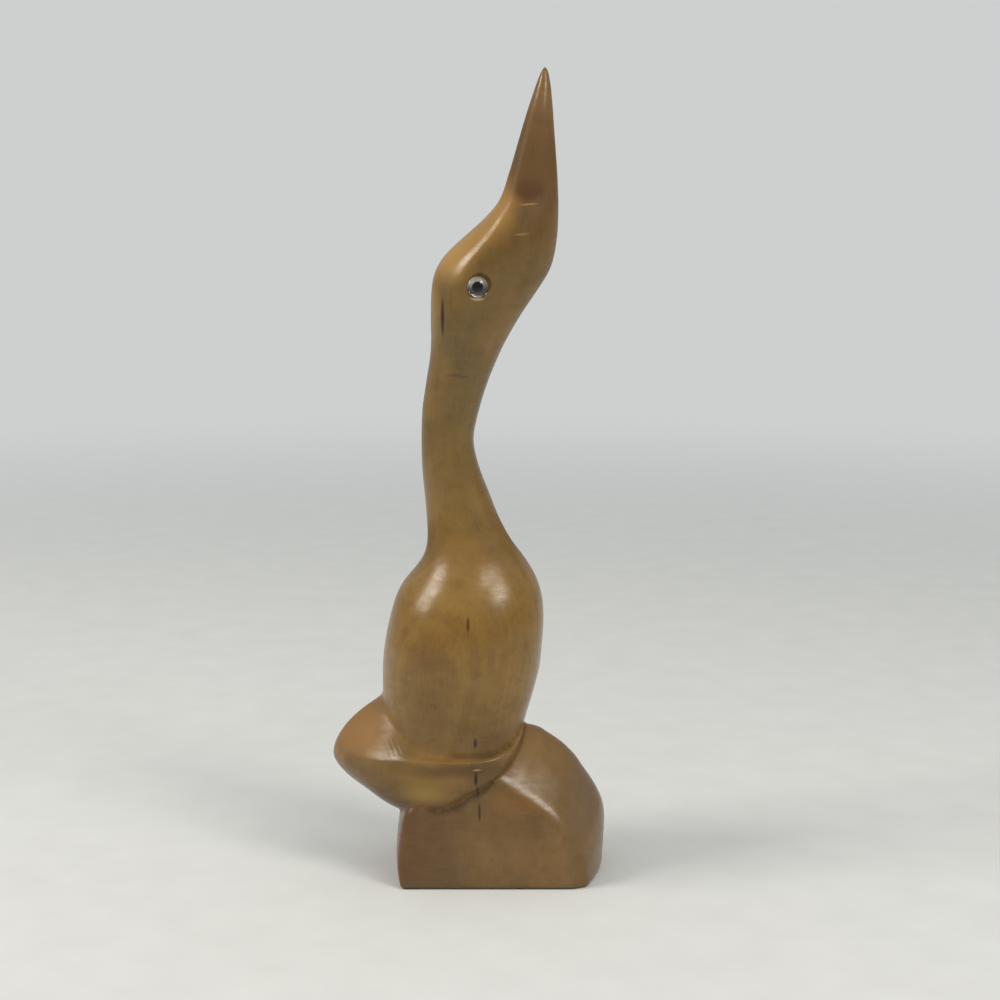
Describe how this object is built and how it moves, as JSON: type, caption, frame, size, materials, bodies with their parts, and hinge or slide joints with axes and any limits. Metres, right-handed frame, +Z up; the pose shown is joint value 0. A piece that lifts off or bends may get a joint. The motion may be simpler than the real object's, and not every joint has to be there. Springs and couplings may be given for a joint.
{
  "type": "carved bird figurine",
  "caption": "Varnished wooden bird figurine with a long stretched neck and upturned beak, a full body and boat-shaped tail on a carved rock base.",
  "frame": {"origin": "middle of the carving's outline on the table, on the base's underside", "axes": "+Z up along the neck, +X the way the beak leans, -X the tail; the flat sides of the base face +Y and -Y"},
  "size_m": [0.0794, 0.0442, 0.23],
  "materials": {
    "wood": "glossy varnish over light brown wood",
    "eye_glass": "clear polished glass",
    "eye_pupil": "glossy black"
  },
  "bodies": {
    "root": {"carved_bird": "wood", "right_eye_glass": "eye_glass", "right_eye_pupil": "eye_pupil", "left_eye_glass": "eye_glass", "left_eye_pupil": "eye_pupil"}
  },
  "joints": []
}
